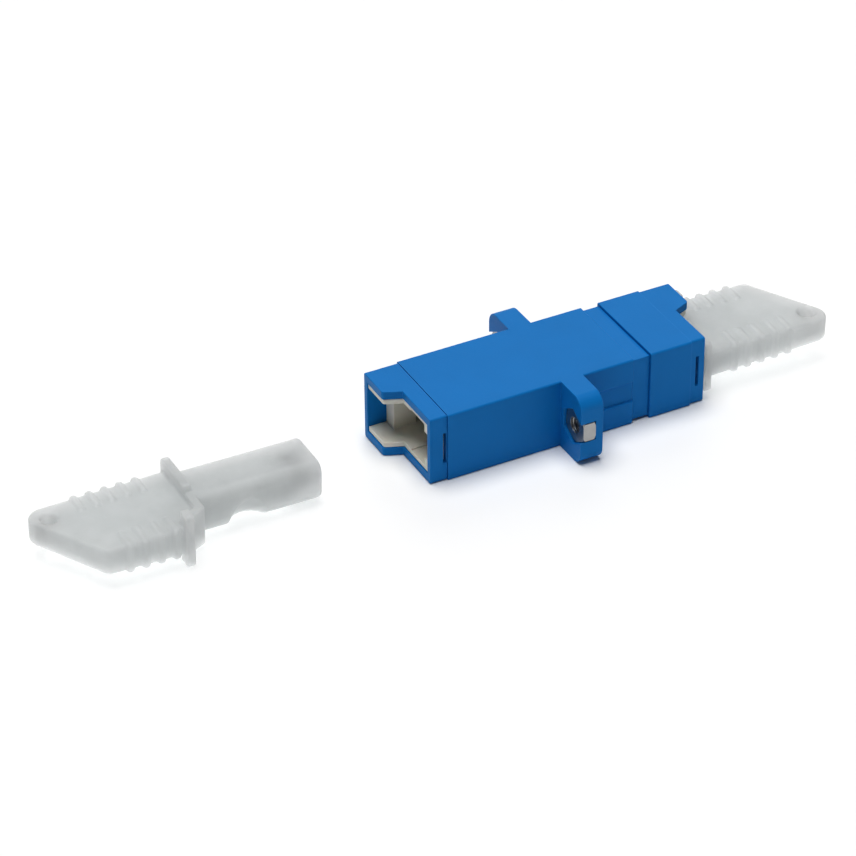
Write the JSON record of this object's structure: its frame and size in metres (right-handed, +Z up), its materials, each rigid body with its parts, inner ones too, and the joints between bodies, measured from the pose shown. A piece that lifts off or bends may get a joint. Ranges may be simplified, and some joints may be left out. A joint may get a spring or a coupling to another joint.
{
  "type": "latching fibre adapter",
  "caption": "Panel-mount fibre adapter with keyed front and rear ports, two flange ears with captive nuts, a split sleeve inside, and ribbed dust plugs, one in and one taken off.",
  "frame": {"origin": "midway between the two flange screw holes, on the rear face of the ears, which seats on the panel", "axes": "+Z up, +Y along the fibre towards the rear port, +X across the ears, towards the set-back side of the mouths"},
  "size_m": [0.022, 0.0988, 0.0088],
  "materials": {
    "blue_housing": "satin moulded",
    "port_insert": "fine moulded",
    "milky_plug": "translucent milky",
    "nut_steel": "bright plated",
    "holder_plastic": "fine moulded",
    "sleeve_ceramic": "ground"
  },
  "bodies": {
    "adapter": {"main_housing": "blue_housing", "rear_housing": "blue_housing", "front_guide_insert": "port_insert", "rear_guide_insert": "port_insert", "front_sleeve_holder": "holder_plastic", "rear_sleeve_holder": "holder_plastic", "alignment_sleeve": "sleeve_ceramic", "left_flange_nut": "nut_steel", "right_flange_nut": "nut_steel", "front_dust_plug": "milky_plug"},
    "rear_plug": {"rear_dust_plug": "milky_plug"}
  },
  "joints": [
    {"name": "rear_plug_slide", "type": "slide", "parent": "adapter", "child": "rear_plug", "axis": [0, 1, 0], "range_m": [0, 0.018]}
  ]
}
